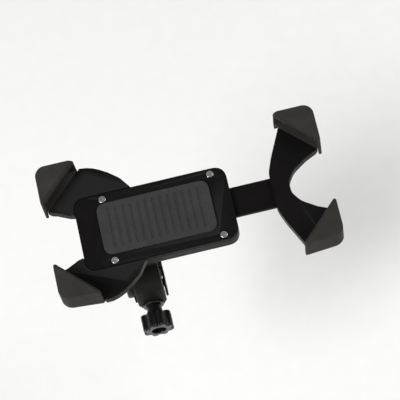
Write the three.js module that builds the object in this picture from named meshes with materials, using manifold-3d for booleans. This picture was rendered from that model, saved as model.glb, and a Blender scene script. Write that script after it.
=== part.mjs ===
// A four-claw handset mount for a bicycle handlebar, in millimetres, +Z up.
// The origin is the centre of the handlebar's bore at the middle of the clamp. X runs along the
// handlebar and along the handset, the rider sits towards -Y, and the screen faces +Z.
import * as THREE from "three";
import { mergeVertices } from "three/addons/utils/BufferGeometryUtils.js";
import Module from "manifold-3d";

const wasm = await Module();
wasm.setup();

// ---- Driving dimensions ----
const GAP = 0.3; // left between pieces that touch

const TRAY = { x: 30.1, y: 6.4, z: 48 }; // middle of the handset's glass, from the bar's centre

// Heights in the tray's own frame, whose z = 0 is the handset's glass.
const CLAW = {
  x: 72, // outer faces of the end walls
  y: 36.6, // outer faces of the long-side walls
  diagonal: 87.6, // |x| + |y| on the slanted edge of the corner plates
  wall: 1.6,
  top: 4.1,
  lip: 0.6, // underside of the front plate
  floor: -7.4,
  bottom: -8.7,
  corner: 5.4,
  tip: 0.9, // rounding of the two narrow tips
};
const PAD = { thick: 0.8, reach: 14, bottom: -7.0, top: 0.2 };
const ARM = { top: -9, bottom: -14.4, corner: -8.7 };
const CLAW_SCREW = {
  x: 63,
  y: 28.2,
  boss: 2.2,
  hole: 1.6,
  shank: 1.25,
  head: 3.3,
  top: -10.2, // top and bottom of the head
  bottom: -11.6,
};
const HUB = { left: -57, right: 22, y: 20, radius: 7, bottom: -18.4, wall: 2 };
const COVER = { top: -8.8, bottom: -10.8 };
const REST = { left: -46, right: 12, y: 14, thick: 1.1 };
const COVER_SCREW = { x: [-42, 14], y: 17, shank: 1, head: 1.9, headHeight: 0.9, boss: 2.4 };
const TONGUE = { left: -34, root: 43, y: 8, top: -11.4, bottom: -13.7 };
const EAR = { right: -31, y: 14, bottom: -15.8 };
const ROD = { y: 11.2, z: -13.7, radius: 1.5 };
const SPRING = { coil: 1.85, wire: 0.3, turns: 11, sides: 5, steps: 10 };

// The clamp's own sizes. Its screw runs along Y under the bar.
const BAR = 11.1; // radius of a 22.2 mm handlebar
const LINER = 12.3; // outer radius of the rubber liners
const BORE = 12.6; // radius of the jaws' bore
const JAW = { outer: 15.6, half: 7.5 };
const CHEEK = { inner: 7.8, outer: 8.9 };
const HINGE = { y: -4, z: 17.2, pin: 1.5, knuckle: 3.3, head: 2.8 };
const SCREW = { y: -5.8, z: -18, pin: 2, cheek: 7.2, head: 4.2, headWidth: 3 };
const FRONT = { radius: 18, z: -1.5 }; // the front jaw's outer face: flat below z, an arc above
const LUG = { face: -16.2, back: -10.1, radius: 6.8, slot: 3 };
const BOLT = { radius: 2.5, end: -28, barrel: 3.9, half: 7.3 };
const WASHER = { outer: 5.5, inner: 2.8, thick: 1 };
const KNOB = { neck: 4, shoulder: -22.4, end: -31.4, outer: 8.4, groove: 6.8, lobes: 8, recess: 3.8 };
const INSERT = { outer: 3.5, deep: 3.8, length: 4 };
const TABLE = { radius: 14, bottom: 24.6, top: 28.3 };
const PIVOT = { radius: 3, head: 5.5, headHeight: 1.6, depth: 8, hole: 3.4 };

const SWIVEL_X = -TRAY.x; // the swivel's axis, in the tray's frame
const hubBack = TRAY.z + HUB.bottom; // height of the hub's back over the bar's centre

// ---- Materials ----
const plastic = (color, roughness) => new THREE.MeshStandardMaterial({ color, roughness, metalness: 0 });
const steel = () => new THREE.MeshStandardMaterial({ color: 0xb8babd, roughness: 0.35, metalness: 1 });
const brass = () => new THREE.MeshStandardMaterial({ color: 0xb08d4a, roughness: 0.35, metalness: 1 });
const CLAW_COLOR = 0x3a3732;
const BODY_COLOR = 0x191718;
const JAW_COLOR = 0x22211d;
const KNOB_COLOR = 0x141414;
const RUBBER_COLOR = 0x262625;

// ---- Shapes ----
function solid(geometry) {
  const g = geometry.clone();
  g.deleteAttribute("normal");
  g.deleteAttribute("uv");
  const merged = mergeVertices(g, 1e-4);
  return new wasm.Manifold(
    new wasm.Mesh({
      numProp: 3,
      vertProperties: new Float32Array(merged.attributes.position.array),
      triVerts: new Uint32Array(merged.index.array),
    }),
  );
}

function geometryOf(made) {
  const mesh = made.getMesh();
  const g = new THREE.BufferGeometry();
  const positions = new Float32Array(mesh.numVert * 3);
  for (let i = 0; i < mesh.numVert; i++) {
    positions.set(mesh.vertProperties.subarray(i * mesh.numProp, i * mesh.numProp + 3), i * 3);
  }
  g.setAttribute("position", new THREE.BufferAttribute(positions, 3));
  g.setIndex(new THREE.BufferAttribute(new Uint32Array(mesh.triVerts), 1));
  g.computeVertexNormals();
  return g;
}

const joined = (...parts) => parts.reduce((a, b) => a.add(b));
const cut = (base, ...tools) => tools.reduce((a, b) => a.subtract(b), base);

const arc = (x, y, r, from, to, steps) =>
  Array.from({ length: steps + 1 }, (_, i) => {
    const a = THREE.MathUtils.degToRad(from + ((to - from) * i) / steps);
    return [x + r * Math.cos(a), y + r * Math.sin(a)];
  });

const shapeOf = (points) => new THREE.Shape(points.map(([x, y]) => new THREE.Vector2(x, y)));

function extruded(points, depth) {
  return new THREE.ExtrudeGeometry(shapeOf(points), { depth, bevelEnabled: false, steps: 1 });
}

// An outline in X and Y, from height z0 to z1.
const plate = (points, z0, z1) => solid(extruded(points, z1 - z0).translate(0, 0, z0));

// An outline in Y and Z, from x0 to x1.
const profile = (points, x0, x1) =>
  solid(
    extruded(points, x1 - x0)
      .applyMatrix4(
        new THREE.Matrix4().makeBasis(
          new THREE.Vector3(0, 1, 0),
          new THREE.Vector3(0, 0, 1),
          new THREE.Vector3(1, 0, 0),
        ),
      )
      .translate(x0, 0, 0),
  );

const box = (x0, x1, y0, y1, z0, z1) =>
  solid(
    new THREE.BoxGeometry(x1 - x0, y1 - y0, z1 - z0).translate(
      (x0 + x1) / 2,
      (y0 + y1) / 2,
      (z0 + z1) / 2,
    ),
  );

const TURN = {
  x: new THREE.Matrix4().makeRotationZ(-Math.PI / 2),
  y: new THREE.Matrix4(),
  z: new THREE.Matrix4().makeRotationX(Math.PI / 2),
};

// A round bar along an axis from a to b; at gives its other two coordinates.
function rod(axis, radius, a, b, at, sides = 24) {
  const g = new THREE.CylinderGeometry(radius, radius, b - a, sides).translate(0, (a + b) / 2, 0);
  g.applyMatrix4(TURN[axis]);
  const [u, v] = at;
  if (axis === "x") g.translate(0, u, v);
  if (axis === "y") g.translate(u, 0, v);
  if (axis === "z") g.translate(u, v, 0);
  return solid(g);
}

// A turned piece: [radius, distance along the axis] from the axis and back to it.
function turned(axis, points, at, sides = 24) {
  const outline = points.map(([r, h]) => new THREE.Vector2(r, h));
  const g = new THREE.LatheGeometry(outline, sides).applyMatrix4(TURN[axis]);
  const [u, v] = at;
  if (axis === "x") g.translate(0, u, v);
  if (axis === "y") g.translate(u, 0, v);
  if (axis === "z") g.translate(u, v, 0);
  return solid(g);
}

const roundedRect = (x0, x1, y0, y1, r) => [
  ...arc(x1 - r, y0 + r, r, -90, 0, 5),
  ...arc(x1 - r, y1 - r, r, 0, 90, 5),
  ...arc(x0 + r, y1 - r, r, 90, 180, 5),
  ...arc(x0 + r, y0 + r, r, 180, 270, 5),
];

const named = (name, made, material) => {
  const mesh = new THREE.Mesh(geometryOf(made), material);
  mesh.name = name;
  return mesh;
};

// ---- Claws: corner pockets, drawn for the corner at +x, +y and mirrored ----
const mirrored = (made, sx, sy) => made.scale([sx, sy, 1]);

// A three-cornered outline: square corner outside, slanted edge inside, narrow tips rounded.
function cornerOutline() {
  const { x, y, corner: r, tip: t, diagonal } = CLAW;
  const reach = t * (1 + Math.SQRT2); // from a tip to where its rounding starts
  const tipX = diagonal - y;
  const tipY = diagonal - x;
  return [
    ...arc(x - r, y - r, r, 0, 90, 6),
    ...arc(tipX + reach, y - t, t, 90, 225, 5),
    ...arc(x - t, tipY + reach, t, 225, 360, 5),
  ];
}

function claw() {
  const outer = plate(cornerOutline(), ARM.bottom, CLAW.top);
  const x = CLAW.x - CLAW.wall;
  const y = CLAW.y - CLAW.wall;
  const r = CLAW.corner - CLAW.wall;
  const inside = [[0, 0], [x, 0], ...arc(x - r, y - r, r, 0, 90, 5), [0, y]];
  const pocket = plate(inside, CLAW.floor, CLAW.lip); // takes the handset's corner
  const sleeve = plate(inside, ARM.bottom - 1, CLAW.bottom); // takes the arm's end
  const at = [CLAW_SCREW.x, CLAW_SCREW.y];
  const bossEnd = CLAW_SCREW.top + GAP;
  const boss = rod("z", CLAW_SCREW.boss, bossEnd, CLAW.bottom + 0.5, at, 16);
  const hole = rod("z", CLAW_SCREW.hole, bossEnd - 1, CLAW.bottom + GAP, at, 12);
  return cut(joined(cut(outer, pocket, sleeve, cornerSlice()), boss), hole);
}

// Faces and corner radius of what fits inside a claw's walls.
const clawRoom = () => ({
  x: CLAW.x - CLAW.wall - GAP,
  y: CLAW.y - CLAW.wall - GAP,
  r: CLAW.corner - CLAW.wall - GAP,
});

function clawPad() {
  const { x, y, r } = clawRoom();
  const inner = PAD.thick;
  const outline = [
    ...arc(x - r, y - r, r, 0, 90, 4),
    [x - PAD.reach, y],
    [x - PAD.reach, y - inner],
    ...arc(x - r, y - r, r - inner, 90, 0, 4),
    [x - inner, y - PAD.reach],
    [x, y - PAD.reach],
  ];
  return plate(outline, PAD.bottom, PAD.top);
}

function clawScrew() {
  const { shank, head, top, bottom } = CLAW_SCREW;
  const points = [
    [0, bottom],
    [head - 0.5, bottom],
    [head, bottom + 0.5],
    [head, top],
    [shank, top],
    [shank, CLAW.bottom],
    [0, CLAW.bottom],
  ];
  return turned("z", points, [CLAW_SCREW.x, CLAW_SCREW.y], 16);
}

// A slanted slice off the backs of an arm and its claw, which thin towards the corner at +x, +y.
function cornerSlice() {
  const far = (CLAW.x + CLAW.y) / Math.SQRT2;
  const near = (CLAW.diagonal - 6) / Math.SQRT2;
  const tilt = Math.atan2(ARM.corner - ARM.bottom, far - near);
  const g = new THREE.BoxGeometry(40, 60, 20)
    .translate(20, 0, -10)
    .applyMatrix4(new THREE.Matrix4().makeRotationY(-tilt))
    .translate(near, 0, ARM.bottom)
    .applyMatrix4(new THREE.Matrix4().makeRotationZ(Math.PI / 4));
  return solid(g);
}

// Bores an arm's end for the claw's boss and its screw's head.
function armBores() {
  const at = [CLAW_SCREW.x, CLAW_SCREW.y];
  return [
    rod("z", CLAW_SCREW.boss + GAP, -20, 0, at, 16),
    rod("z", CLAW_SCREW.head + GAP, -20, CLAW_SCREW.top + GAP, at, 16),
  ];
}

// The end of an arm's outline, inside a claw's skirt.
function armEnd() {
  const { x, y, r } = clawRoom();
  return arc(x - r, y - r, r, 0, 90, 6);
}

// ---- Fixed half of the tray: hub shell with the two left arms ----
function leftArm() {
  const y = CLAW.y + 0.4; // the arm stands a little proud of the claw's skirt
  const outline = [
    ...armEnd(),
    [52.2, clawRoom().y],
    [50.2, y - 0.3],
    [46.6, y - 0.8],
    [43.4, y - 1.8],
    [40.4, y - 3.3],
    [36.1, y - 6.1],
    [31, y - 10.4],
    [26, 19.4],
    [24, 14],
    [50, 10],
    [60, 12.5],
    [66, 15.5],
    [68.6, 16.2],
    [clawRoom().x, 17.4],
  ];
  return cut(plate(outline, ARM.bottom, ARM.top), cornerSlice());
}

const tonguePassage = () =>
  box(0, HUB.right + 5, -TONGUE.y - GAP, TONGUE.y + GAP, TONGUE.bottom - GAP, COVER.bottom);

function hubShell() {
  const outer = plate(
    roundedRect(HUB.left, HUB.right, -HUB.y, HUB.y, HUB.radius),
    HUB.bottom,
    COVER.bottom - GAP,
  );
  const arms = [1, -1].map((sy) => mirrored(leftArm(), -1, sy));
  const cavity = plate(
    roundedRect(
      HUB.left + HUB.wall,
      HUB.right - HUB.wall,
      HUB.wall - HUB.y,
      HUB.y - HUB.wall,
      HUB.radius - HUB.wall,
    ),
    HUB.bottom + HUB.wall,
    0,
  );
  const coverSeat = plate(
    roundedRect(HUB.left - GAP, HUB.right + GAP, -HUB.y - GAP, HUB.y + GAP, HUB.radius),
    COVER.bottom - GAP,
    0,
  );
  const at = [SWIVEL_X, 0];
  const bosses = coverScrewPlaces().map((place) =>
    rod("z", COVER_SCREW.boss, HUB.bottom + 1, COVER.bottom - GAP, place, 12),
  );
  const bossHoles = coverScrewPlaces().map((place) =>
    rod("z", COVER_SCREW.shank + GAP, HUB.bottom + 2.5, 0, place, 10),
  );
  const rodHoles = [1, -1].map((s) =>
    rod("x", ROD.radius + GAP, HUB.left + 0.6, HUB.right + 1, [s * ROD.y, ROD.z], 12),
  );
  const bored = [1, -1].flatMap((sy) => armBores().map((bore) => mirrored(bore, -1, sy)));
  return cut(
    joined(cut(joined(outer, ...arms), cavity, coverSeat), ...bosses),
    rod("z", PIVOT.hole, -30, 0, at),
    tonguePassage(),
    ...bossHoles,
    ...rodHoles,
    ...bored,
  );
}

function coverScrewPlaces() {
  return COVER_SCREW.x.flatMap((x) => [1, -1].map((s) => [x, s * COVER_SCREW.y]));
}

function hubCover() {
  const body = plate(
    roundedRect(HUB.left, HUB.right, -HUB.y, HUB.y, HUB.radius),
    COVER.bottom,
    COVER.top,
  );
  const holes = coverScrewPlaces().flatMap((place) => [
    rod("z", COVER_SCREW.shank + GAP, -20, 0, place, 12),
    rod("z", COVER_SCREW.head + GAP, COVER.top - COVER_SCREW.headHeight - 0.2, 0, place, 12),
  ]);
  return cut(body, ...holes);
}

function coverScrew([x, y]) {
  const top = COVER.top - 0.1;
  const { shank, head, headHeight } = COVER_SCREW;
  const points = [
    [0, top - 5.5],
    [shank, top - 5.5],
    [shank, top - headHeight],
    [head, top - headHeight],
    [head, top],
    [0, top],
  ];
  return turned("z", points, [x, y], 12);
}

const restPad = () =>
  plate(
    roundedRect(REST.left, REST.right, -REST.y, REST.y, 5),
    COVER.top + GAP,
    COVER.top + GAP + REST.thick,
  );

const guideRod = (side) =>
  rod("x", ROD.radius, HUB.left + 1, HUB.right - 0.4, [side * ROD.y, ROD.z], 12);

// ---- Sliding half: the carriage with the two right arms ----
function rightArm() {
  const outline = [
    ...armEnd(),
    [54.8, clawRoom().y],
    [53.2, 33.4],
    [TONGUE.root + 3, 18],
    [TONGUE.root, 10],
    [TONGUE.root, 0],
    [52, 0],
    [52, 3],
    [55.5, 8.5],
    [63, 13.6],
    [68.6, 16.2],
    [clawRoom().x, 17.4],
  ];
  return cut(plate(outline, ARM.bottom, ARM.top), cornerSlice());
}

function carriage() {
  const arms = [1, -1].map((sy) => mirrored(rightArm(), 1, sy));
  const tongue = box(
    TONGUE.left,
    TONGUE.root + 4,
    -TONGUE.y,
    TONGUE.y,
    TONGUE.bottom,
    TONGUE.top,
  );
  const ears = [1, -1].map((s) =>
    box(
      TONGUE.left,
      EAR.right,
      Math.min(s * (TONGUE.y - 1), s * EAR.y),
      Math.max(s * (TONGUE.y - 1), s * EAR.y),
      EAR.bottom,
      TONGUE.top,
    ),
  );
  const rodHoles = [1, -1].map((s) =>
    rod("x", ROD.radius + GAP, TONGUE.left - 1, EAR.right + 1, [s * ROD.y, ROD.z], 12),
  );
  const bored = [1, -1].flatMap((sy) => armBores().map((bore) => mirrored(bore, 1, sy)));
  return cut(joined(tongue, ...ears, ...arms), ...rodHoles, ...bored);
}

class Helix extends THREE.Curve {
  getPoint(t) {
    const a = 2 * Math.PI * SPRING.turns * t;
    const from = EAR.right + GAP + SPRING.wire;
    const to = HUB.right - HUB.wall - GAP - SPRING.wire;
    return new THREE.Vector3(
      from + (to - from) * t,
      SPRING.coil * Math.cos(a),
      SPRING.coil * Math.sin(a),
    );
  }
}

function spring(side) {
  const section = shapeOf(arc(0, 0, SPRING.wire, 0, 360, SPRING.sides).slice(0, -1));
  const g = new THREE.ExtrudeGeometry(section, {
    extrudePath: new Helix(),
    steps: SPRING.turns * SPRING.steps,
    bevelEnabled: false,
  });
  return solid(g).translate([0, side * ROD.y, ROD.z]);
}

// ---- Clamp ----
const ringArc = (r, from, to, steps) => arc(0, 0, r, from, to, steps);

function rearJaw() {
  const ring = profile(
    [...ringArc(JAW.outer, -92, 92, 18), ...ringArc(BORE, 92, -92, 18)],
    -CHEEK.outer,
    CHEEK.outer,
  );
  const foot = profile(
    [
      [6, -12],
      [6, -15.5],
      [1, -SCREW.cheek + SCREW.z + 0.6],
      ...arc(SCREW.y, SCREW.z, SCREW.cheek, 270, 110, 12),
    ],
    -CHEEK.outer,
    CHEEK.outer,
  );
  const head = profile(
    [
      [16.5, 4],
      [18.5, 14],
      [15.5, TABLE.bottom + 1],
      [-1.5, TABLE.bottom + 1],
      [-1.5, HINGE.z + HINGE.knuckle],
      ...arc(HINGE.y, HINGE.z, HINGE.knuckle, 90, 215, 8),
      [0, 12.8],
      [8, 9.5],
      [12, 4],
    ],
    -CHEEK.outer,
    CHEEK.outer,
  );
  const table = rod("z", TABLE.radius, TABLE.bottom, TABLE.top, [0, TRAY.y], 40);
  const bore = rod("x", BORE, -30, 30, [0, 0], 48);
  const slot = box(-CHEEK.inner, CHEEK.inner, -30, 0.4, -30, TABLE.bottom - 3.2);
  const pinHole = rod("x", HINGE.pin + GAP, -20, 20, [HINGE.y, HINGE.z], 16);
  const screwHole = rod("x", SCREW.pin + GAP, -20, 20, [SCREW.y, SCREW.z], 16);
  const barrelRoom = rod(
    "x",
    BOLT.barrel + GAP,
    -CHEEK.inner,
    CHEEK.inner,
    [SCREW.y, SCREW.z],
    24,
  );
  const pivotHole = rod("z", PIVOT.hole, TABLE.top - PIVOT.depth, 60, [0, TRAY.y], 20);
  return cut(
    joined(ring, foot, head, table),
    bore,
    slot,
    pinHole,
    screwHole,
    barrelRoom,
    pivotHole,
  );
}

const liner = (from, to, half) =>
  profile([...ringArc(LINER, from, to, 16), ...ringArc(BAR, to, from, 16)], -half, half);

function frontJaw() {
  const body = profile(
    [
      ...arc(HINGE.y, HINGE.z, HINGE.knuckle, -40, 165, 10),
      ...arc(LUG.face + FRONT.radius, FRONT.z, FRONT.radius, 122, 180, 8),
      [LUG.face, SCREW.z],
      [LUG.back, SCREW.z],
      [LUG.back, -12.4],
      [-8.4, -10.2],
      ...ringArc(BORE, 229, 94, 14),
    ],
    -JAW.half,
    JAW.half,
  );
  const lugEnd = rod("y", LUG.radius, LUG.face, LUG.back, [0, SCREW.z], 32);
  const bore = rod("x", BORE, -30, 30, [0, 0], 48);
  const slot = joined(
    rod("y", LUG.slot, -30, 0, [0, SCREW.z + 1.2], 16),
    box(-LUG.slot, LUG.slot, -30, 0, -30, SCREW.z + 1.2),
  );
  const pinHole = rod("x", HINGE.pin + GAP, -20, 20, [HINGE.y, HINGE.z], 16);
  const behind = box(-20, 20, -0.4, 30, -30, 13.4);
  return cut(joined(body, lugEnd), bore, slot, pinHole, behind);
}

function hingePin() {
  const { pin, head } = HINGE;
  const end = CHEEK.outer + GAP;
  const points = [
    [0, -end - 1.1],
    [head - 0.8, -end - 1.1],
    [head, -end - 0.4],
    [head, -end],
    [pin, -end],
    [pin, end + 0.6],
    [0, end + 0.6],
  ];
  return turned("x", points, [HINGE.y, HINGE.z], 16);
}

function crossPin() {
  const { pin, head, headWidth } = SCREW;
  const inner = -CHEEK.outer - GAP;
  const crown = arc(0, 0, 1, 180, 90, 5).map(([u, v]) => [head * v, inner - 0.8 + (headWidth - 0.8) * u]);
  const points = [...crown, [head, inner], [pin, inner], [pin, CHEEK.outer], [0, CHEEK.outer]];
  return turned("x", points, [SCREW.y, SCREW.z], 24);
}

function swingBolt() {
  const barrel = rod("x", BOLT.barrel, -BOLT.half, BOLT.half, [SCREW.y, SCREW.z], 24);
  const shank = rod("y", BOLT.radius, BOLT.end, SCREW.y, [0, SCREW.z], 16);
  const eye = rod("x", SCREW.pin + GAP, -20, 20, [SCREW.y, SCREW.z], 16);
  return cut(joined(barrel, shank), eye);
}

const washerFace = LUG.face - GAP; // where the washer bears on the lug

const knobWasher = () =>
  cut(
    rod("y", WASHER.outer, washerFace - WASHER.thick, washerFace, [0, SCREW.z], 24),
    rod("y", WASHER.inner, -40, 0, [0, SCREW.z], 16),
  );

function knobOutline() {
  const points = [];
  const middle = (KNOB.outer + KNOB.groove) / 2;
  const swing = (KNOB.outer - KNOB.groove) / 2;
  const steps = KNOB.lobes * 8;
  for (let i = 0; i < steps; i++) {
    const a = (2 * Math.PI * i) / steps;
    const wave = -Math.cos(KNOB.lobes * a);
    const r = middle + swing * Math.sign(wave) * Math.sqrt(Math.abs(wave));
    points.push([r * Math.cos(a), r * Math.sin(a)]);
  }
  return points;
}

function knob() {
  const length = KNOB.shoulder - KNOB.end;
  const lobes = solid(
    extruded(knobOutline(), length)
      .applyMatrix4(new THREE.Matrix4().makeRotationX(Math.PI / 2))
      .translate(0, KNOB.shoulder, SCREW.z),
  );
  const neckTop = washerFace - WASHER.thick - GAP;
  const neck = rod("y", KNOB.neck, KNOB.shoulder - 1, neckTop, [0, SCREW.z], 24);
  const through = rod("y", BOLT.radius + 2 * GAP, -50, 0, [0, SCREW.z], 16);
  const recess = rod(
    "y",
    KNOB.recess,
    KNOB.end - 1,
    KNOB.end + INSERT.deep + INSERT.length + GAP,
    [0, SCREW.z],
    24,
  );
  return cut(joined(lobes, neck), through, recess);
}

function knobInsert() {
  const from = KNOB.end + INSERT.deep;
  return cut(
    rod("y", INSERT.outer, from, from + INSERT.length, [0, SCREW.z], 24),
    rod("y", BOLT.radius + GAP, -50, 0, [0, SCREW.z], 16),
  );
}

// ---- Swivel between the clamp and the tray ----
const swivelWasher = () =>
  cut(
    rod("z", TABLE.radius - 1.5, TABLE.top + GAP, hubBack - GAP, [0, TRAY.y], 32),
    rod("z", PIVOT.hole, 0, 60, [0, TRAY.y], 20),
  );

function pivotScrew() {
  const headBottom = hubBack + HUB.wall + GAP;
  const tip = TABLE.top - PIVOT.depth + GAP;
  const points = [
    [0, tip],
    [PIVOT.radius, tip],
    [PIVOT.radius, headBottom],
    [PIVOT.head, headBottom],
    [PIVOT.head, headBottom + PIVOT.headHeight],
    [0, headBottom + PIVOT.headHeight],
  ];
  return turned("z", points, [0, TRAY.y], 24);
}

// ---- Assembly ----
const mount = new THREE.Group();
const tray = new THREE.Group();
tray.position.set(TRAY.x, TRAY.y, TRAY.z);
mount.add(tray);

mount.add(
  named("rear_jaw", rearJaw(), plastic(JAW_COLOR, 0.6)),
  named("rear_liner", liner(-84, 84, CHEEK.outer), plastic(RUBBER_COLOR, 0.9)),
  named("front_jaw", frontJaw(), plastic(JAW_COLOR, 0.6)),
  named("front_liner", liner(97, 226, JAW.half), plastic(RUBBER_COLOR, 0.9)),
  named("hinge_pin", hingePin(), plastic(KNOB_COLOR, 0.3)),
  named("cross_pin", crossPin(), plastic(KNOB_COLOR, 0.3)),
  named("swing_bolt", swingBolt(), steel()),
  named("knob_washer", knobWasher(), plastic(KNOB_COLOR, 0.3)),
  named("knob", knob(), plastic(KNOB_COLOR, 0.25)),
  named("knob_insert", knobInsert(), brass()),
  named("swivel_washer", swivelWasher(), plastic(0xd8d6d0, 0.5)),
  named("pivot_screw", pivotScrew(), steel()),
);

tray.add(
  named("hub_shell", hubShell(), plastic(BODY_COLOR, 0.35)),
  named("hub_cover", hubCover(), plastic(BODY_COLOR, 0.45)),
  named("rest_pad", restPad(), plastic(RUBBER_COLOR, 0.9)),
  named("carriage", carriage(), plastic(BODY_COLOR, 0.35)),
);
coverScrewPlaces().forEach((place, i) => {
  tray.add(named(`cover_screw_${i + 1}`, coverScrew(place), steel()));
});
for (const [label, side] of [
  ["front", -1],
  ["rear", 1],
]) {
  tray.add(named(`guide_rod_${label}`, guideRod(side), steel()));
  tray.add(named(`spring_${label}`, spring(side), steel()));
  for (const [end, sx] of [
    ["left", -1],
    ["right", 1],
  ]) {
    const place = `${label}_${end}`;
    tray.add(named(`claw_${place}`, mirrored(claw(), sx, side), plastic(CLAW_COLOR, 0.6)));
    tray.add(named(`claw_pad_${place}`, mirrored(clawPad(), sx, side), plastic(RUBBER_COLOR, 0.9)));
    tray.add(named(`claw_screw_${place}`, mirrored(clawScrew(), sx, side), plastic(KNOB_COLOR, 0.3)));
  }
}

export default mount;
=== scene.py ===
import math

import bmesh
import bpy
from mathutils import Matrix, Vector


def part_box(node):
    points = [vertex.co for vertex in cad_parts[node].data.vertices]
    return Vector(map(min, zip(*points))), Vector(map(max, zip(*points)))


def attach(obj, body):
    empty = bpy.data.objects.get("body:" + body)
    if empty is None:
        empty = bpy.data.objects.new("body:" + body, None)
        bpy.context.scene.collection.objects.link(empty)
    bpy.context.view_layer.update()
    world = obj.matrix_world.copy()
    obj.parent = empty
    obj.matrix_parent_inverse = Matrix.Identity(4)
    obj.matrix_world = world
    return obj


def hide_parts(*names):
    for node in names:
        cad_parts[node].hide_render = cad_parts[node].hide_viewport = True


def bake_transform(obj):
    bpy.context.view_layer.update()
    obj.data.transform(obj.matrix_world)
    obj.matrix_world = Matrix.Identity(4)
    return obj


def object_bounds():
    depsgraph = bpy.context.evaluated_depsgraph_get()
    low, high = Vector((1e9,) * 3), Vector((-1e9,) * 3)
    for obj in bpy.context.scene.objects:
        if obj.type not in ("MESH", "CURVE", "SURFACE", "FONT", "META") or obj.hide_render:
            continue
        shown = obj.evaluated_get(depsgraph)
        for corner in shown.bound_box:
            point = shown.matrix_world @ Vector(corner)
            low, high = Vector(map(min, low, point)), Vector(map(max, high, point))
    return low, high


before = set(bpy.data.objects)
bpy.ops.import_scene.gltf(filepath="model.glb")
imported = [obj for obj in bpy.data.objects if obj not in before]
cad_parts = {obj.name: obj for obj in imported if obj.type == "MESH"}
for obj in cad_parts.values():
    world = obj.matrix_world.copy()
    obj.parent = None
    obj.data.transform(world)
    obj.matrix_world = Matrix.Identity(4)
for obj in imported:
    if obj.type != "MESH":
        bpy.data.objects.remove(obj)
cad_low, cad_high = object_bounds()

MM = 0.001
GAP = 0.3  # left between pieces that touch
SHARP_ANGLE = 32  # degrees; faces that meet more bluntly than this are shaded as one

# The tray's frame has its z = 0 on the handset's glass; its place comes from the claws' boxes.
CLAW_TOP = 4.1
corner_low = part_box("claw_front_left")[0]
corner_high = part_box("claw_rear_right")[1]
middle = (corner_low + corner_high) / 2
TRAY = Vector((middle.x, middle.y, corner_high.z - CLAW_TOP * MM)) / MM
SWIVEL_X = -TRAY.x

# ---- Sizes in millimetres, as in the CAD part ----
CLAW = {"x": 72, "y": 36.6, "diagonal": 87.6, "wall": 1.6, "lip": 0.6, "floor": -7.4,
        "bottom": -8.7, "corner": 5.4, "tip": 0.9}
PAD = {"thick": 0.8, "reach": 14, "bottom": -7.0, "top": 0.2}
ARM = {"top": -9, "bottom": -14.4, "corner": -8.7}
CLAW_SCREW = {"x": 63, "y": 28.2, "boss": 2.2, "hole": 1.6, "shank": 1.25, "head": 3.3,
              "top": -10.2, "bottom": -11.6}
HUB = {"left": -57, "right": 22, "y": 20, "radius": 7, "bottom": -18.4, "wall": 2}
COVER = {"top": -8.8, "bottom": -10.8}
REST = {"left": -46, "right": 12, "y": 14, "thick": 1.1}
COVER_SCREW = {"shank": 1, "head": 1.9, "head_height": 0.9, "boss": 2.4, "y": 17}
COVER_SCREW_X = (-42, 14)
TONGUE = {"left": -34, "root": 43, "y": 8, "top": -11.4, "bottom": -13.7}
EAR = {"right": -31, "y": 14, "bottom": -15.8}
ROD = {"y": 11.2, "z": -13.7, "radius": 1.5}
SPRING = {"coil": 1.85, "wire": 0.3, "turns": 11}
BAR = 11.1
LINER = 12.3
BORE = 12.6
JAW_OUTER = 15.6
JAW_HALF = 7.5
CHEEK = {"inner": 7.8, "outer": 8.9}
HINGE = {"y": -4, "z": 17.2, "pin": 1.5, "knuckle": 3.3, "head": 2.8}
SCREW = {"y": -5.8, "z": -18, "pin": 2, "cheek": 7.2, "head": 4.2, "width": 3}
FRONT = {"radius": 18, "z": -1.5}
LUG = {"face": -16.2, "back": -10.1, "radius": 6.8, "slot": 3}
BOLT = {"radius": 2.5, "end": -28, "barrel": 3.9, "half": 7.3}
WASHER = {"outer": 5.5, "inner": 2.8, "thick": 1}
KNOB = {"neck": 4, "shoulder": -22.4, "end": -31.4, "outer": 8.4, "groove": 6.8,
        "lobes": 8, "recess": 3.8}
INSERT = {"outer": 3.5, "deep": 3.8, "length": 4}
TABLE = {"radius": 14, "bottom": 24.6, "top": 28.3}
PIVOT = {"radius": 3, "head": 5.5, "head_height": 1.6, "depth": 8, "hole": 3.4}
HUB_BACK = TRAY.z + HUB["bottom"]

# Faces and corner radius of what fits inside a claw's walls.
ROOM_X = CLAW["x"] - CLAW["wall"] - GAP
ROOM_Y = CLAW["y"] - CLAW["wall"] - GAP
ROOM_CORNER = CLAW["corner"] - CLAW["wall"] - GAP


# ---- Outlines ----
def arc(x, y, r, start, end, steps):
    angles = [math.radians(start + (end - start) * i / steps) for i in range(steps + 1)]
    return [(x + r * math.cos(a), y + r * math.sin(a)) for a in angles]


def fillet(points, radius, steps=6, closed=True):
    """Rounds the corners of an outline. radius is one number, or one for each corner."""
    count = len(points)
    radii = radius if isinstance(radius, (list, tuple)) else [radius] * count
    made = []
    for i, corner in enumerate(points):
        if (not closed and i in (0, count - 1)) or radii[i] <= 0:
            made.append(tuple(corner))
            continue
        at = Vector(corner)
        back = Vector(points[i - 1]) - at
        ahead = Vector(points[(i + 1) % count]) - at
        turn = back.angle(ahead)
        if turn > math.radians(179):
            made.append(tuple(corner))
            continue
        cut = min(radii[i] / math.tan(turn / 2), back.length * 0.48, ahead.length * 0.48)
        first = at + back.normalized() * cut
        last = at + ahead.normalized() * cut
        for k in range(steps + 1):
            t = k / steps
            made.append(tuple(first * (1 - t) ** 2 + at * 2 * t * (1 - t) + last * t * t))
    return made


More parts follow.
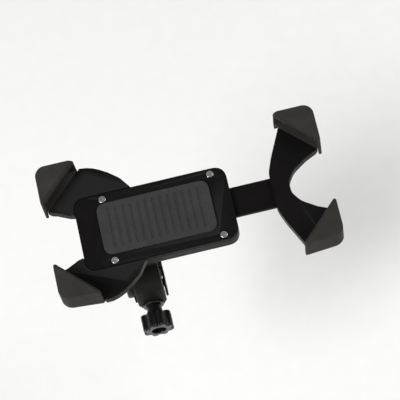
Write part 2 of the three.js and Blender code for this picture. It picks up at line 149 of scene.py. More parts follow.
def inset(outline, d):
    """Moves a counter-clockwise outline inwards by d."""
    if d == 0:
        return list(outline)
    made = []
    count = len(outline)
    for i in range(count):
        here = Vector(outline[i])
        before = here - Vector(outline[i - 1])
        after = Vector(outline[(i + 1) % count]) - here
        n1 = Vector((-before.y, before.x)).normalized()
        n2 = Vector((-after.y, after.x)).normalized()
        both = n1 + n2
        share = d * 2 / max(both.length_squared, 0.8)
        made.append(tuple(here + both * share))
    return made


# ---- Meshes ----
def placed(axis, u, v, h):
    if axis == "x":
        return (h, u, v)
    if axis == "y":
        return (v, h, u)
    return (u, v, h)


def make(name, points, faces, offset=(0, 0, 0)):
    mesh = bpy.data.meshes.new(name)
    shift = Vector(offset)
    mesh.from_pydata([tuple((Vector(p) + shift) * MM) for p in points], [], faces)
    work = bmesh.new()
    work.from_mesh(mesh)
    bmesh.ops.remove_doubles(work, verts=work.verts, dist=1e-7)
    bmesh.ops.recalc_face_normals(work, faces=work.faces)
    work.to_mesh(mesh)
    work.free()
    obj = bpy.data.objects.new(name, mesh)
    bpy.context.scene.collection.objects.link(obj)
    return obj


def loft(name, rings, offset=(0, 0, 0)):
    """A closed skin through rings that have the same number of points."""
    n = len(rings[0])
    points = [p for ring in rings for p in ring]
    faces = []
    for k in range(len(rings) - 1):
        a = k * n
        b = a + n
        for i in range(n):
            j = (i + 1) % n
            faces.append((a + i, a + j, b + j, b + i))
    faces.append(tuple(reversed(range(n))))
    faces.append(tuple((len(rings) - 1) * n + i for i in range(n)))
    return make(name, points, faces, offset)


def slab(name, outline, start, end, low, high=None, axis="z", steps=4):
    """An outline swept from start to end, its rims rounded by low and high."""
    high = low if high is None else high
    levels = []
    for k in range(steps + 1):
        a = math.pi / 2 * k / steps
        levels.append((low * (1 - math.sin(a)), start + low * (1 - math.cos(a))))
    for k in reversed(range(steps + 1)):
        a = math.pi / 2 * k / steps
        levels.append((high * (1 - math.sin(a)), end - high * (1 - math.cos(a))))
    rings = [[placed(axis, u, v, h) for u, v in inset(outline, d)] for d, h in levels]
    return loft(name, rings)


def turned(name, profile, axis, offset=(0, 0, 0), sides=64, shape=None):
    """Turns (radius, height) points about an axis. Ends off the axis are joined to each other."""
    looped = profile[0][0] > 0 and profile[-1][0] > 0
    points = []
    rows = []
    for r, h in profile:
        if r <= 0:
            rows.append([len(points)])
            points.append(placed(axis, 0, 0, h))
            continue
        row = []
        for i in range(sides):
            a = 2 * math.pi * i / sides
            rr = shape(r, h, a) if shape else r
            row.append(len(points))
            points.append(placed(axis, rr * math.cos(a), rr * math.sin(a), h))
        rows.append(row)
    faces = []
    for k in range(len(rows) if looped else len(rows) - 1):
        a = rows[k]
        b = rows[(k + 1) % len(rows)]
        for i in range(sides):
            j = (i + 1) % sides
            if len(a) == 1:
                faces.append((a[0], b[j], b[i]))
            elif len(b) == 1:
                faces.append((a[i], a[j], b[0]))
            else:
                faces.append((a[i], a[j], b[j], b[i]))
    return make(name, points, faces, offset)


def pin(name, radius, start, end, axis, offset=(0, 0, 0), edge=0.0, sides=48):
    """A plain round bar, used for pins and as a cutter."""
    if edge:
        profile = fillet([(0, start), (radius, start), (radius, end), (0, end)], edge, 4, False)
    else:
        profile = [(0, start), (radius, start), (radius, end), (0, end)]
    return turned(name, profile, axis, offset, sides)


def block(name, low, high):
    outline = [(low[0], low[1]), (high[0], low[1]), (high[0], high[1]), (low[0], high[1])]
    return loft(name, [[(u, v, h) for u, v in outline] for h in (low[2], high[2])])


def baked(obj):
    bpy.context.view_layer.update()
    graph = bpy.context.evaluated_depsgraph_get()
    mesh = bpy.data.meshes.new_from_object(obj.evaluated_get(graph))
    obj.modifiers.clear()
    obj.data = mesh
    return obj


def combine(obj, others, operation):
    for other in others:
        modifier = obj.modifiers.new("shape", "BOOLEAN")
        modifier.object = other
        modifier.operation = operation
        modifier.solver = "MANIFOLD"
    baked(obj)
    for other in others:
        bpy.data.objects.remove(other)
    return obj


def add(obj, *others):
    return combine(obj, others, "UNION")


def cut(obj, *others):
    return combine(obj, others, "DIFFERENCE")


def soften(obj, width, angle=38):
    """Rounds the edges that turn by more than angle degrees."""
    modifier = obj.modifiers.new("edges", "BEVEL")
    modifier.width = width * MM
    modifier.segments = 2
    modifier.limit_method = "ANGLE"
    modifier.angle_limit = math.radians(angle)
    modifier.use_clamp_overlap = True
    return baked(obj)


def flipped(obj, sx, sy):
    """Mirrors a piece drawn in the tray's own frame about the tray's middle, and puts it in place."""
    obj.data.transform(Matrix.Diagonal((sx, sy, 1, 1)))
    if sx * sy < 0:
        obj.data.flip_normals()
    obj.data.transform(Matrix.Translation(TRAY * MM))
    return obj


# ---- Materials: every one is made of noise at several scales over the object's own coordinates ----
def finish(name, base, rough, metal=0.0, grain=0.1, grain_size=0.35, mottle=0.12, edge_wear_and_highlight=0.0,
           wear_and_highlight_colour=(0.2, 0.2, 0.2), coat=0.0, sheen=0.0, specular=0.5, brushed=None):
    mat = bpy.data.materials.new(name)
    mat.use_nodes = True
    nodes = mat.node_tree.nodes
    link = mat.node_tree.links.new
    shader = nodes["Principled BSDF"]
    shader.inputs["Metallic"].default_value = metal
    shader.inputs["Coat Weight"].default_value = coat
    shader.inputs["Coat Roughness"].default_value = 0.12
    shader.inputs["Sheen Weight"].default_value = sheen
    shader.inputs["Specular IOR Level"].default_value = specular
    place = nodes.new("ShaderNodeTexCoord").outputs["Object"]
    if brushed:
        mapping = nodes.new("ShaderNodeMapping")
        mapping.inputs["Scale"].default_value = brushed
        link(place, mapping.inputs["Vector"])
        place = mapping.outputs["Vector"]

    def noise(size, detail):
        made = nodes.new("ShaderNodeTexNoise")
        made.inputs["Scale"].default_value = 1 / (size * MM)
        made.inputs["Detail"].default_value = detail
        link(place, made.inputs["Vector"])
        return made.outputs["Fac"]

    def ranged(value, low, high, out_low, out_high):
        made = nodes.new("ShaderNodeMapRange")
        for key, number in (("From Min", low), ("From Max", high),
                            ("To Min", out_low), ("To Max", out_high)):
            made.inputs[key].default_value = number
        link(value, made.inputs["Value"])
        return made.outputs["Result"]

    tint = nodes.new("ShaderNodeMix")
    tint.data_type = "RGBA"
    tint.inputs["A"].default_value = (*[c * (1 - mottle) for c in base], 1)
    tint.inputs["B"].default_value = (*[c * (1 + mottle) for c in base], 1)
    link(ranged(noise(9, 4), 0.3, 0.7, 0, 1), tint.inputs["Factor"])
    colour = tint.outputs["Result"]
    # Convex edges are mixed towards a lighter colour by pointiness: partly rubbed edge wear, partly a
    # painted rim highlight along the lower edges of walls.
    if edge_wear_and_highlight:
        edge = ranged(nodes.new("ShaderNodeNewGeometry").outputs["Pointiness"], 0.52, 0.62, 0, edge_wear_and_highlight)
        wear_and_highlight_mix = nodes.new("ShaderNodeMix")
        wear_and_highlight_mix.data_type = "RGBA"
        wear_and_highlight_mix.inputs["B"].default_value = (*wear_and_highlight_colour, 1)
        link(edge, wear_and_highlight_mix.inputs["Factor"])
        link(colour, wear_and_highlight_mix.inputs["A"])
        colour = wear_and_highlight_mix.outputs["Result"]
    link(colour, shader.inputs["Base Color"])
    link(ranged(noise(2.5, 3), 0.3, 0.7, rough * 0.85, rough * 1.15), shader.inputs["Roughness"])
    bump = nodes.new("ShaderNodeBump")
    bump.inputs["Strength"].default_value = grain
    bump.inputs["Distance"].default_value = 0.1 * MM
    link(noise(grain_size, 2), bump.inputs["Height"])
    link(bump.outputs["Normal"], shader.inputs["Normal"])
    return mat


# Each finish's edge lightening stands partly for edge wear and partly for a painted rim highlight on convex
# edges.
SURFACES = {
    "claw_plastic": finish("claw_plastic", (0.0335, 0.0315, 0.028), 0.52, grain=0.5, grain_size=0.3,
                           mottle=0.16, edge_wear_and_highlight=0.3, wear_and_highlight_colour=(0.09, 0.085, 0.075), specular=0.04),
    "body_plastic": finish("body_plastic", (0.0062, 0.0054, 0.0054), 0.38, grain=0.06, grain_size=0.8,
                           edge_wear_and_highlight=0.3, wear_and_highlight_colour=(0.04, 0.04, 0.04), specular=0.06),
    "jaw_plastic": finish("jaw_plastic", (0.012, 0.0115, 0.0085), 0.5, grain=0.5, grain_size=0.35,
                          edge_wear_and_highlight=0.3, wear_and_highlight_colour=(0.05, 0.05, 0.045), specular=0.1),
    "knob_plastic": finish("knob_plastic", (0.006, 0.006, 0.0065), 0.2, grain=0.05, grain_size=1.0,
                           coat=0.12, edge_wear_and_highlight=0.2, wear_and_highlight_colour=(0.04, 0.04, 0.04), specular=0.3),
    "liner_rubber": finish("liner_rubber", (0.014, 0.014, 0.014), 0.78, grain=0.6, grain_size=0.25,
                           sheen=0.15, mottle=0.2),
    "pad_rubber": finish("pad_rubber", (0.017, 0.017, 0.018), 0.72, grain=0.5, grain_size=0.25,
                         sheen=0.15, mottle=0.2),
    "bright_steel": finish("bright_steel", (0.62, 0.62, 0.63), 0.26, metal=1.0, grain=0.12,
                           grain_size=0.5, mottle=0.08, brushed=(1, 1, 6)),
    "black_steel": finish("black_steel", (0.016, 0.016, 0.017), 0.3, grain=0.15, grain_size=0.5,
                          edge_wear_and_highlight=0.5, wear_and_highlight_colour=(0.12, 0.12, 0.12)),
    "insert_brass": finish("insert_brass", (0.66, 0.46, 0.18), 0.28, metal=1.0, grain=0.15,
                           grain_size=0.4, mottle=0.1, brushed=(1, 6, 1)),
    "washer_nylon": finish("washer_nylon", (0.68, 0.66, 0.6), 0.45, grain=0.2, grain_size=0.5,
                           mottle=0.04),
}


def piece(obj, body, slot, *nodes, blended=False):
    """Gives a made piece its finish and shading, hangs it on its body unless it is blended, and hides the
    CAD parts it stands for.
    """
    obj.data.shade_smooth()
    obj.data.set_sharp_from_angle(angle=math.radians(SHARP_ANGLE))
    obj.data.materials.clear()
    obj.data.materials.append(SURFACES[slot])
    modifier = obj.modifiers.new("normals", "WEIGHTED_NORMAL")
    modifier.keep_sharp = True
    if not blended:
        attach(obj, body)
    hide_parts(*nodes)
    return obj


# ---- Claws ----
def corner_ring(wall_inset, diagonal_inset, z):
    x = CLAW["x"] - wall_inset
    y = CLAW["y"] - wall_inset
    r = max(CLAW["corner"] - wall_inset, 1)
    t = CLAW["tip"]
    reach = t * (1 + math.sqrt(2))
    diagonal = CLAW["diagonal"] + diagonal_inset
    tip_x = diagonal - y
    tip_y = diagonal - x
    outline = [
        *arc(x - r, y - r, r, 0, 90, 16),
        *arc(tip_x + reach, y - t, t, 90, 225, 14),
        *arc(x - t, tip_y + reach, t, 225, 360, 14),
    ]
    return [(u, v, z) for u, v in outline]


# Each level of a claw: its height, how far its walls are drawn in, and how far its slanted edge
# is moved towards the corner. The top rim is rounded, and the slanted edge bevelled.
CLAW_LEVELS = [
    (ARM["bottom"], 0, -0.9), (CLAW["bottom"], 0, -0.9), (CLAW["lip"], 0, -0.55),
    (1.9, 0, -0.5), (2.2, 0, -0.42), (2.5, 0, -0.2), (3.2, 0, 0.6), (3.6, 0.02, 1.05),
    (3.85, 0.1, 1.35), (4.0, 0.22, 1.6), (4.07, 0.36, 1.8), (CLAW_TOP, 0.6, 2.1),
]


def cross_recess(name, x, y, height, depth, arm, width, sign):
    """A cutter for a screw's cross recess, going in by depth from height."""
    low, high = sorted((height + sign * 0.2, height - sign * depth))
    one = block(name, (x - arm, y - width, low), (x + arm, y + width, high))
    other = block(name, (x - width, y - arm, low), (x + width, y + arm, high))
    return add(one, other)


def corner_slice():
    """A cutter for the slanted slice off the backs of an arm and its claw, towards their corner."""
    far = (CLAW["x"] + CLAW["y"]) / math.sqrt(2)
    near = (CLAW["diagonal"] - 6) / math.sqrt(2)
    tilt = math.atan2(ARM["corner"] - ARM["bottom"], far - near)
    wedge = block("slice", (0, -30, -20), (40, 30, 0))
    turn = Matrix.Rotation(math.pi / 4, 4, "Z")
    shift = Matrix.Translation(Vector((near, 0, ARM["bottom"])) * MM)
    wedge.data.transform(turn @ shift @ Matrix.Rotation(-tilt, 4, "Y"))
    return wedge


def claw(name, sx, sy):
    body = loft(name, [corner_ring(w, d, z) for z, w, d in CLAW_LEVELS])
    x = CLAW["x"] - CLAW["wall"]
    y = CLAW["y"] - CLAW["wall"]
    r = CLAW["corner"] - CLAW["wall"]
    inside = [(20, 0), (x, 0), *arc(x - r, y - r, r, 0, 90, 12), (20, y)]
    pocket = slab("pocket", inside, CLAW["floor"], CLAW["lip"], 0.5, 0.4)
    sleeve = slab("sleeve", inside, ARM["bottom"] - 2, CLAW["bottom"], 0, 0.3)
    at = (CLAW_SCREW["x"], CLAW_SCREW["y"], 0)
    end = CLAW_SCREW["top"] + GAP
    boss = pin("boss", CLAW_SCREW["boss"], end, CLAW["bottom"] + 0.5, "z", at, sides=40)
    hole = pin("hole", CLAW_SCREW["hole"], end - 1, CLAW["bottom"] + GAP, "z", at, sides=32)
    cut(body, pocket, sleeve, corner_slice())
    add(body, boss)
    cut(body, hole)
    return flipped(soften(body, 0.22), sx, sy)


def ribbed(start, end, count, height):
    """Points of a ribbed edge from start to end, its ribs standing to the left."""
    a = Vector(start)
    along = Vector(end) - a
    side = Vector((-along.y, along.x)).normalized() * height
    made = []
    for i in range(count):
        for share, rise in ((0.1, 0), (0.3, 1), (0.7, 1), (0.9, 0)):
            made.append(tuple(a + along * ((i + share) / count) + side * rise))
    return made


def claw_pad(name, sx, sy):
    x = ROOM_X
    y = ROOM_Y
    r = ROOM_CORNER
    thick = PAD["thick"] - 0.15
    far_x = x - PAD["reach"]
    far_y = y - PAD["reach"]
    outline = [
        *arc(x - r, y - r, r, 0, 90, 10),
        (far_x, y),
        (far_x, y - thick),
        *reversed(ribbed((x - r, y - thick), (far_x, y - thick), 7, 0.35)),
        *arc(x - r, y - r, r - thick, 90, 0, 10),
        *ribbed((x - thick, y - r), (x - thick, far_y), 7, -0.35),
        (x - thick, far_y),
        (x, far_y),
    ]
    return flipped(slab(name, outline, PAD["bottom"], PAD["top"], 0.12, steps=2), sx, sy)


def claw_screw(name, sx, sy):
    s = CLAW_SCREW
    profile = fillet([(0, s["bottom"]), (s["head"], s["bottom"]), (s["head"], s["top"]),
                      (s["shank"], s["top"]), (s["shank"], CLAW["bottom"]), (0, CLAW["bottom"])],
                     [0, 0.9, 0.15, 0.1, 0.2, 0], 6, False)
    body = turned(name, profile, "z", (s["x"], s["y"], 0), 56)
    cut(body, cross_recess("recess", s["x"], s["y"], s["bottom"], 0.9, 1.5, 0.35, -1))
    return flipped(soften(body, 0.08, 45), sx, sy)


for end, side_x in (("left", -1), ("right", 1)):
    for row, side_y in (("front", -1), ("rear", 1)):
        body_name = "tray" if end == "left" else "carriage"
        place = f"{row}_{end}"
        piece(claw(f"claw_{place}.look", side_x, side_y), body_name, "claw_plastic", f"claw_{place}")
        piece(claw_pad(f"claw_pad_{place}.look", side_x, side_y), body_name, "pad_rubber",
              f"claw_pad_{place}")
        piece(claw_screw(f"claw_screw_{place}.look", side_x, side_y), body_name, "black_steel",
              f"claw_screw_{place}")


# ---- Arms ----
def arm(outline, rounding, sx, sy):
    """One arm with its bores for the claw's boss and its screw's head."""
    body = slab("arm", fillet(outline, rounding, 5), ARM["bottom"], ARM["top"], 0.45, 0.5)
    at = (CLAW_SCREW["x"], CLAW_SCREW["y"], 0)
    boss = pin("bore", CLAW_SCREW["boss"] + GAP, -20, 0, "z", at, sides=40)
    head = pin("bore", CLAW_SCREW["head"] + GAP, -20, CLAW_SCREW["top"] + GAP, "z", at, sides=48)
    cut(body, corner_slice(), boss, head)
    body.data.transform(Matrix.Diagonal((sx, sy, 1, 1)))
    if sx * sy < 0:
        body.data.flip_normals()
    return body


def left_outline():
    """The outline of a left arm at +x, +y, and the rounding of each of its corners."""
    y = CLAW["y"] + 0.4
    points = [
        (ROOM_X, ROOM_Y), (52.2, ROOM_Y), (50.2, y - 0.3), (46.6, y - 0.8), (43.4, y - 1.8),
        (40.4, y - 3.3), (36.1, y - 6.1), (31, y - 10.4), (26, 19.4), (18, 14), (18, 8), (50, 10),
        (60, 12.5), (66, 15.5), (68.6, 16.2), (ROOM_X, 17.4),
    ]
    return points, [ROOM_CORNER, 0.5, 0.6, 9, 9, 9, 9, 9, 9, 0, 0, 8, 8, 4, 4, 1]


def right_outline():
    """The outline of a right arm at +x, +y, and the rounding of each of its corners."""
    root = TONGUE["root"]
    points = [
        (ROOM_X, ROOM_Y), (54.8, ROOM_Y), (53.2, 33.4), (root + 3, 18), (root, 10), (root, -1),
        (52, -1), (52, 3), (55.5, 8.5), (63, 13.6), (68.6, 16.2), (ROOM_X, 17.4),
    ]
    return points, [ROOM_CORNER, 3, 3, 12, 12, 0, 0, 6, 12, 12, 4, 1]


def cover_screw_places():
    return [(x, s * COVER_SCREW["y"]) for x in COVER_SCREW_X for s in (1, -1)]


def rectangle(x0, x1, y0, y1, radius, steps=10):
    return fillet([(x0, y0), (x1, y0), (x1, y1), (x0, y1)], radius, steps)


def hub_shell():
    top = COVER["bottom"] - GAP
    wall = HUB["wall"]
    body = slab("hub_shell.look",
                rectangle(HUB["left"], HUB["right"], -HUB["y"], HUB["y"], HUB["radius"]),
                HUB["bottom"], top, 1.4, 0.25, steps=5)
    outline, rounding = left_outline()
    add(body, arm(outline, rounding, -1, 1), arm(outline, rounding, -1, -1))
    cavity = slab("cavity", rectangle(HUB["left"] + wall, HUB["right"] - wall, wall - HUB["y"],
                                      HUB["y"] - wall, HUB["radius"] - wall),
                  HUB["bottom"] + wall, 5, 0.6, 0)
    seat = slab("seat", rectangle(HUB["left"] - GAP, HUB["right"] + GAP, -HUB["y"] - GAP, HUB["y"] + GAP,
                                  HUB["radius"]), top, 5, 0, 0)
    cut(body, cavity, seat)
    add(body, *[pin("boss", COVER_SCREW["boss"], HUB["bottom"] + 1, top, "z", (x, y, 0), sides=32)
                for x, y in cover_screw_places()])
    tools = [pin("hole", COVER_SCREW["shank"] + GAP, HUB["bottom"] + 2.5, 0, "z", (x, y, 0), sides=24)
             for x, y in cover_screw_places()]
    tools += [pin("hole", ROD["radius"] + GAP, HUB["left"] + 0.6, HUB["right"] + 1, "x",
                  (0, s * ROD["y"], ROD["z"]), sides=32) for s in (1, -1)]
    tools.append(pin("hole", PIVOT["hole"], -30, 0, "z", (SWIVEL_X, 0, 0)))
    tools.append(block("passage", (0, -TONGUE["y"] - GAP, TONGUE["bottom"] - GAP),
                       (HUB["right"] + 5, TONGUE["y"] + GAP, COVER["bottom"])))
    cut(body, *tools)
    return flipped(soften(body, 0.3), 1, 1)


def hub_cover():
    body = slab("hub_cover.look", rectangle(HUB["left"], HUB["right"], -HUB["y"], HUB["y"], HUB["radius"]),
                COVER["bottom"], COVER["top"], 0.2, 0.5)
    tools = []
    for x, y in cover_screw_places():
        tools.append(pin("hole", COVER_SCREW["shank"] + GAP, -20, 0, "z", (x, y, 0), sides=24))
        tools.append(pin("hole", COVER_SCREW["head"] + GAP,
                         COVER["top"] - COVER_SCREW["head_height"] - 0.2, 0, "z", (x, y, 0), sides=40))
    return flipped(soften(cut(body, *tools), 0.15), 1, 1)


def cover_screw(name, x, y):
    top = COVER["top"] - 0.1
    s = COVER_SCREW
    profile = fillet([(0, top - 5.5), (s["shank"], top - 5.5), (s["shank"], top - s["head_height"]),
                      (s["head"], top - s["head_height"]), (s["head"], top), (0, top)],
                     [0, 0.4, 0.05, 0.1, 0.35, 0], 5, False)
    body = turned(name, profile, "z", (x, y, 0), 48)
    cut(body, cross_recess("recess", x, y, top, 0.6, 1.0, 0.24, 1))
    return flipped(soften(body, 0.05, 45), 1, 1)


def rest_pad():
    low = COVER["top"] + GAP
    high = low + REST["thick"]
    body = slab("rest_pad.look", rectangle(REST["left"], REST["right"], -REST["y"], REST["y"], 5),
                low, high, 0.15, 0.35)
    ridges = 13
    pitch = (REST["right"] - REST["left"] - 8) / ridges
    grooves = []
    for i in range(ridges):
        x = REST["left"] + 4 + pitch * (i + 0.5)
        shape = fillet([(x - 0.7, 3 - REST["y"]), (x + 0.7, 3 - REST["y"]), (x + 0.7, REST["y"] - 3),
                        (x - 0.7, REST["y"] - 3)], 0.7, 5)
        grooves.append(slab("groove", shape, high - 0.45, high + 1, 0.2, 0))
    return flipped(soften(cut(body, *grooves), 0.1), 1, 1)


def carriage():
    t = TONGUE
    body = slab("carriage.look", rectangle(t["left"], t["root"] + 4, -t["y"], t["y"], 0.8, 4),
                t["bottom"], t["top"], 0.3)
    outline, rounding = right_outline()
    for side in (1, -1):
        near, far = sorted((side * (t["y"] - 1), side * EAR["y"]))
        add(body, slab("ear", rectangle(t["left"], EAR["right"], near, far, 0.6, 4),
                       EAR["bottom"], t["top"], 0.3))
    add(body, arm(outline, rounding, 1, 1), arm(outline, rounding, 1, -1))
    cut(body, *[pin("hole", ROD["radius"] + GAP, t["left"] - 1, EAR["right"] + 1, "x",
                    (0, s * ROD["y"], ROD["z"]), sides=32) for s in (1, -1)])
    return flipped(soften(body, 0.25), 1, 1)


def guide_rod(name, side):
    return flipped(pin(name, ROD["radius"], HUB["left"] + 1, HUB["right"] - 0.4, "x",
                       (0, side * ROD["y"], ROD["z"]), 0.3), 1, 1)


def spring(name, side):
    """A wire helix round a guide rod."""
    start = EAR["right"] + GAP + SPRING["wire"]
    end = HUB["right"] - HUB["wall"] - GAP - SPRING["wire"]
    turns = SPRING["turns"]
    steps = turns * 28
    sides = 10
    along = Vector((1, 0, 0))
    rings = []
    for k in range(steps + 1):
        t = k / steps
        a = 2 * math.pi * turns * t
        out = Vector((0, math.cos(a), math.sin(a)))
        centre = along * (start + (end - start) * t) + out * SPRING["coil"]
        around = [2 * math.pi * i / sides for i in range(sides)]
        rings.append([tuple(centre + (out * math.cos(b) + along * math.sin(b)) * SPRING["wire"])
                      for b in around])
    return flipped(loft(name, rings, (0, side * ROD["y"], ROD["z"])), 1, 1)


piece(hub_shell(), "tray", "body_plastic", "hub_shell")
piece(hub_cover(), "tray", "body_plastic", "hub_cover")
piece(rest_pad(), "tray", "pad_rubber", "rest_pad")
piece(carriage(), "carriage", "body_plastic", "carriage")
for number, (x, y) in enumerate(cover_screw_places(), 1):
    piece(cover_screw(f"cover_screw_{number}.look", x, y), "tray", "bright_steel", f"cover_screw_{number}")
for row, side_y in (("front", -1), ("rear", 1)):
    piece(guide_rod(f"guide_rod_{row}.look", side_y), "tray", "bright_steel", f"guide_rod_{row}")
    coil = piece(spring(f"spring_{row}.look", side_y), "tray", "bright_steel", f"spring_{row}",
                 blended=True)
    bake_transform(coil)


# ---- Clamp ----
def ring_arc(radius, start, end, steps):
    return arc(0, 0, radius, start, end, steps)


def rear_jaw():
    half = CHEEK["outer"]
    body = slab("rear_jaw.look", [*ring_arc(JAW_OUTER, -92, 92, 48), *ring_arc(BORE - 0.6, 92, -92, 48)],
                -half, half, 0.7, axis="x")
    foot = slab("foot", [(1, SCREW["z"] - SCREW["cheek"] + 0.6), (6, -15.5), (6, -12),
                         *arc(SCREW["y"], SCREW["z"], SCREW["cheek"], 110, 270, 32)],
                -half, half, 0.35, axis="x")
    knuckle = arc(HINGE["y"], HINGE["z"], HINGE["knuckle"], 90, 215, 20)
    head = slab("head", [(16.5, 4), (18.5, 14), (15.5, TABLE["bottom"] + 1), (-1.5, TABLE["bottom"] + 1),
                         (-1.5, HINGE["z"] + HINGE["knuckle"]), *knuckle, (0, 12.8), (8, 9.5), (12, 4)],
                -half, half, 0.5, axis="x")
    disc = turned("table", fillet([(0, TABLE["bottom"]), (TABLE["radius"], TABLE["bottom"]),
                                   (TABLE["radius"], TABLE["top"]), (0, TABLE["top"])],
                                  [0, 1.2, 0.4, 0], 6, False), "z", (0, TRAY.y, 0), 96)
    add(body, foot)
    add(body, head)
    add(body, disc)
    cut(body,
        pin("bore", BORE, -30, 30, "x", sides=128),
        block("slot", (-CHEEK["inner"], -30, -30), (CHEEK["inner"], 0.4, TABLE["bottom"] - 3.2)),
        pin("bore", HINGE["pin"] + GAP, -20, 20, "x", (0, HINGE["y"], HINGE["z"])),
        pin("bore", SCREW["pin"] + GAP, -20, 20, "x", (0, SCREW["y"], SCREW["z"])),
        pin("bore", BOLT["barrel"] + GAP, -CHEEK["inner"], CHEEK["inner"], "x", (0, SCREW["y"], SCREW["z"])),
        pin("bore", PIVOT["hole"], TABLE["top"] - PIVOT["depth"], 60, "z", (0, TRAY.y, 0)))
    return soften(body, 0.3)


def liner(name, start, end, half):
    """A rubber lining whose inner face has shallow grooves along the bar."""
    count = 36
    inner = []
    for i in range(count * 4 + 1):
        a = math.radians(end + (start - end) * i / (count * 4))
        r = BAR + (0.3 if i % 4 in (1, 2) else 0)
        inner.append((r * math.cos(a), r * math.sin(a)))
    outline = [*ring_arc(LINER, start, end, 48), *inner]
    return slab(name, outline, -half, half, 0.1, axis="x", steps=2)


def front_jaw():
    half = JAW_HALF
    knuckle = arc(HINGE["y"], HINGE["z"], HINGE["knuckle"], -40, 165, 28)
    nose = arc(LUG["face"] + FRONT["radius"], FRONT["z"], FRONT["radius"], 122, 180, 20)
    body = slab("front_jaw.look", [*knuckle, *nose, (LUG["face"], SCREW["z"]), (LUG["back"], SCREW["z"]),
                                   (LUG["back"], -12.4), (-8.4, -10.2), *ring_arc(BORE, 229, 94, 40)],
                -half, half, 0.7, axis="x")
    lug = turned("lug", fillet([(0, LUG["back"]), (LUG["radius"], LUG["back"]), (LUG["radius"], LUG["face"]),
                                (0, LUG["face"])], [0, 0.5, 0.7, 0], 6, False),
                 "y", (0, 0, SCREW["z"]), 72)
    slot = pin("slot", LUG["slot"], -30, 0, "y", (0, 0, SCREW["z"] + 1.2))
    add(slot, block("slot_end", (-LUG["slot"], -30, -30), (LUG["slot"], 0, SCREW["z"] + 1.2)))
    add(body, lug)
    cut(body, pin("bore", BORE, -30, 30, "x", sides=128), slot,
        pin("bore", HINGE["pin"] + GAP, -20, 20, "x", (0, HINGE["y"], HINGE["z"])),
        block("behind", (-20, -0.4, -30), (20, 30, 13.4)))
    return soften(body, 0.3)


def hinge_pin():
    end = CHEEK["outer"] + GAP
    profile = fillet([(0, -end - 1.1), (HINGE["head"], -end - 1.1), (HINGE["head"], -end),
                      (HINGE["pin"], -end), (HINGE["pin"], end + 0.6), (0, end + 0.6)],
                     [0, 0.8, 0.15, 0.05, 0.35, 0], 6, False)
    return turned("hinge_pin.look", profile, "x", (0, HINGE["y"], HINGE["z"]))


def cross_pin():
    inner = -CHEEK["outer"] - GAP
    s = SCREW
    face = inner - s["width"] + 0.05
    profile = fillet([(0, face - 0.05), (s["head"], face), (s["head"], inner), (s["pin"], inner),
                      (s["pin"], CHEEK["outer"]), (0, CHEEK["outer"])],
                     [0, 1.6, 0.25, 0.05, 0.3, 0], 8, False)
    return turned("cross_pin.look", profile, "x", (0, s["y"], s["z"]), 72)


def swing_bolt():
    """A barrel on the cross pin, and a shank with a real helical thread."""
    s = SCREW
    barrel = pin("swing_bolt.look", BOLT["barrel"], -BOLT["half"], BOLT["half"], "x",
                 (0, s["y"], s["z"]), 0.4)
    pitch = 0.8
    thread_start = LUG["face"] + 2
    steps = int((thread_start - BOLT["end"]) / 0.1)
    profile = [(0, BOLT["end"]), (BOLT["radius"] - 0.5, BOLT["end"])]
    profile += [(BOLT["radius"], BOLT["end"] + 0.1 * (k + 1)) for k in range(steps)]
    profile += [(BOLT["radius"], thread_start + 0.2), (BOLT["radius"], s["y"]), (0, s["y"])]

    def thread(r, h, a):
        if r < BOLT["radius"] or h > thread_start:
            return r
        turn = (h / pitch - a / (2 * math.pi)) % 1
        lead = min(1, (h - BOLT["end"]) / 0.8)
        return r - 0.42 * abs(2 * turn - 1) - 0.3 * (1 - lead)

    shank = turned("shank", profile, "y", (0, 0, s["z"]), 40, thread)
    add(barrel, shank)
    cut(barrel, pin("eye", s["pin"] + GAP, -20, 20, "x", (0, s["y"], s["z"])))
    return barrel


def knob():
    washer_face = LUG["face"] - GAP
    top = washer_face - WASHER["thick"] - GAP
    k = KNOB
    through = BOLT["radius"] + 2 * GAP
    deep = k["end"] + INSERT["deep"] + INSERT["length"] + GAP
    profile = fillet([
        (through, top), (k["neck"], top), (k["neck"], k["shoulder"]), (k["outer"], k["shoulder"]),
        (k["outer"], k["end"]), (k["recess"], k["end"]), (k["recess"], deep), (through, deep),
    ], [0.2, 0.35, 0.5, 1.3, 1.1, 0.5, 0.2, 0.2], 7)
    mean = (k["outer"] + k["groove"]) / 2
    swing = (k["outer"] - k["groove"]) / 2

    def lobed(r, h, a):
        share = max(0, min(1, (r - k["neck"] - 0.5) / (k["outer"] - k["neck"] - 2.0)))
        wave = -math.cos(k["lobes"] * a)
        edge = mean + swing * math.copysign(abs(wave) ** 0.6, wave)
        return r * (1 - share) + r * edge / k["outer"] * share

    return turned("knob.look", profile, "y", (0, 0, SCREW["z"]), 256, lobed)


def ring_piece(name, inner, outer, start, end, axis, offset, edge=0.15, sides=72, shape=None):
    profile = fillet([(inner, start), (outer, start), (outer, end), (inner, end)], edge, 4)
    return turned(name, profile, axis, offset, sides, shape)


def knurled(r, h, a):
    if r < INSERT["outer"] - 0.3:
        return r
    return r - 0.12 * (1 + math.cos(36 * a))


def pivot_screw():
    base = HUB_BACK + HUB["wall"] + GAP
    tip = TABLE["top"] - PIVOT["depth"] + GAP
    top = base + PIVOT["head_height"]
    profile = fillet([(0, tip), (PIVOT["radius"], tip), (PIVOT["radius"], base), (PIVOT["head"], base),
                      (PIVOT["head"], top), (0, top)], [0, 0.5, 0.1, 0.2, 0.5, 0], 6, False)
    body = turned("pivot_screw.look", profile, "z", (0, TRAY.y, 0), 72)
    socket = turned("socket", [(0, top - 1.1), (2.3, top - 1.1), (2.3, top + 1), (0, top + 1)], "z",
                    (0, TRAY.y, 0), 6)
    return soften(cut(body, socket), 0.08, 45)


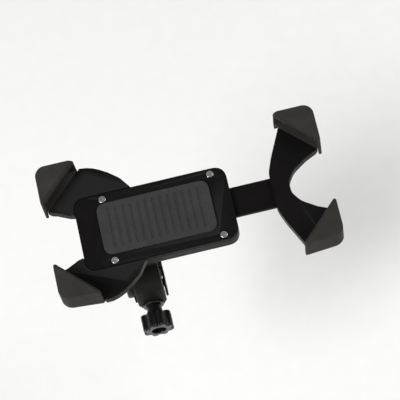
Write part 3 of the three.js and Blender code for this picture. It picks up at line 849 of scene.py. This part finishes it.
washer_face = LUG["face"] - GAP
screw_line = (0, 0, SCREW["z"])
piece(rear_jaw(), "clamp", "jaw_plastic", "rear_jaw")
piece(liner("rear_liner.look", -84, 84, CHEEK["outer"]), "clamp", "liner_rubber", "rear_liner")
piece(front_jaw(), "jaw", "jaw_plastic", "front_jaw")
piece(liner("front_liner.look", 97, 226, JAW_HALF), "jaw", "liner_rubber", "front_liner")
piece(hinge_pin(), "clamp", "black_steel", "hinge_pin")
piece(cross_pin(), "clamp", "black_steel", "cross_pin")
piece(swing_bolt(), "clamp", "bright_steel", "swing_bolt")
piece(ring_piece("knob_washer.look", WASHER["inner"], WASHER["outer"], washer_face - WASHER["thick"],
                 washer_face, "y", screw_line), "washer", "black_steel", "knob_washer")
piece(knob(), "knob", "knob_plastic", "knob")
insert_start = KNOB["end"] + INSERT["deep"]
piece(ring_piece("knob_insert.look", BOLT["radius"] + GAP, INSERT["outer"], insert_start,
                 insert_start + INSERT["length"], "y", screw_line, sides=144, shape=knurled),
      "knob", "insert_brass", "knob_insert")
piece(ring_piece("swivel_washer.look", PIVOT["hole"], TABLE["radius"] - 1.5, TABLE["top"] + GAP,
                 HUB_BACK - GAP, "z", (0, TRAY.y, 0), 0.2, 96), "clamp", "washer_nylon", "swivel_washer")
piece(pivot_screw(), "clamp", "bright_steel", "pivot_screw")

# ---- Floor, lights and camera ----
FLOOR_HALF = 6
FLOOR_DROP = 0.11  # the mount hangs in the air on its bar, so the floor lies well under it


def floor():
    half = FLOOR_HALF
    z = cad_low.z - FLOOR_DROP
    corners = [(-half, -half, z), (half, -half, z), (half, half, z), (-half, half, z)]
    mesh = bpy.data.meshes.new("floor")
    mesh.from_pydata(corners, [], [(0, 1, 2, 3)])
    obj = bpy.data.objects.new("floor", mesh)
    bpy.context.scene.collection.objects.link(obj)
    obj.data.materials.append(finish("floor_paint", (0.93, 0.93, 0.915), 0.8, grain=0.02, grain_size=4,
                                     mottle=0.01, specular=0.2))


def softbox(name, place, target, size, power):
    light = bpy.data.lights.new(name, "AREA")
    light.shape = "DISK"
    light.size = size
    light.energy = power
    obj = bpy.data.objects.new(name, light)
    obj.location = place
    obj.rotation_mode = "QUATERNION"
    obj.rotation_quaternion = (Vector(target) - Vector(place)).to_track_quat("-Z", "Y")
    bpy.context.scene.collection.objects.link(obj)


floor()
softbox("key", (-0.75, -0.35, 1.0), middle, 0.6, 14)
softbox("fill", (0.9, 0.1, 0.8), middle, 0.6, 6)
softbox("front", (-0.25, -1.0, 0.3), middle, 0.35, 0.9)
world = bpy.data.worlds.new("studio")
world.use_nodes = True
world.node_tree.nodes["Background"].inputs["Color"].default_value = (1, 1, 1, 1)
world.node_tree.nodes["Background"].inputs["Strength"].default_value = 0.25
bpy.context.scene.world = world
bpy.context.scene.view_settings.view_transform = "Standard"

# The camera looks steeply down from the rider's side, a little rolled, at the middle of the glass.
CAMERA_DISTANCE = 1.08
CAMERA_ELEVATION = math.radians(66.57)
CAMERA_AZIMUTH = math.radians(0.47)
CAMERA_ROLL = math.radians(-13.7)
AIM = Vector((0.0063, 0.0003, 0))  # from the middle of the glass
camera_data = bpy.data.cameras.new("camera")
camera_data.lens = 194.7
camera_data.sensor_width = 36
camera_data.clip_start = 0.05
camera_data.clip_end = 20
camera = bpy.data.objects.new("camera", camera_data)
bpy.context.scene.collection.objects.link(camera)
backwards = Vector((math.sin(CAMERA_AZIMUTH) * math.cos(CAMERA_ELEVATION),
                    -math.cos(CAMERA_AZIMUTH) * math.cos(CAMERA_ELEVATION),
                    math.sin(CAMERA_ELEVATION)))
level = Vector((0, 0, 1)).cross(backwards).normalized()
upright = backwards.cross(level)
right = level * math.cos(CAMERA_ROLL) + upright * math.sin(CAMERA_ROLL)
up = backwards.cross(right)
turn = Matrix((right, up, backwards)).transposed()
camera.matrix_world = Matrix.Translation(TRAY * MM + AIM + backwards * CAMERA_DISTANCE) @ turn.to_4x4()
bpy.context.scene.camera = camera
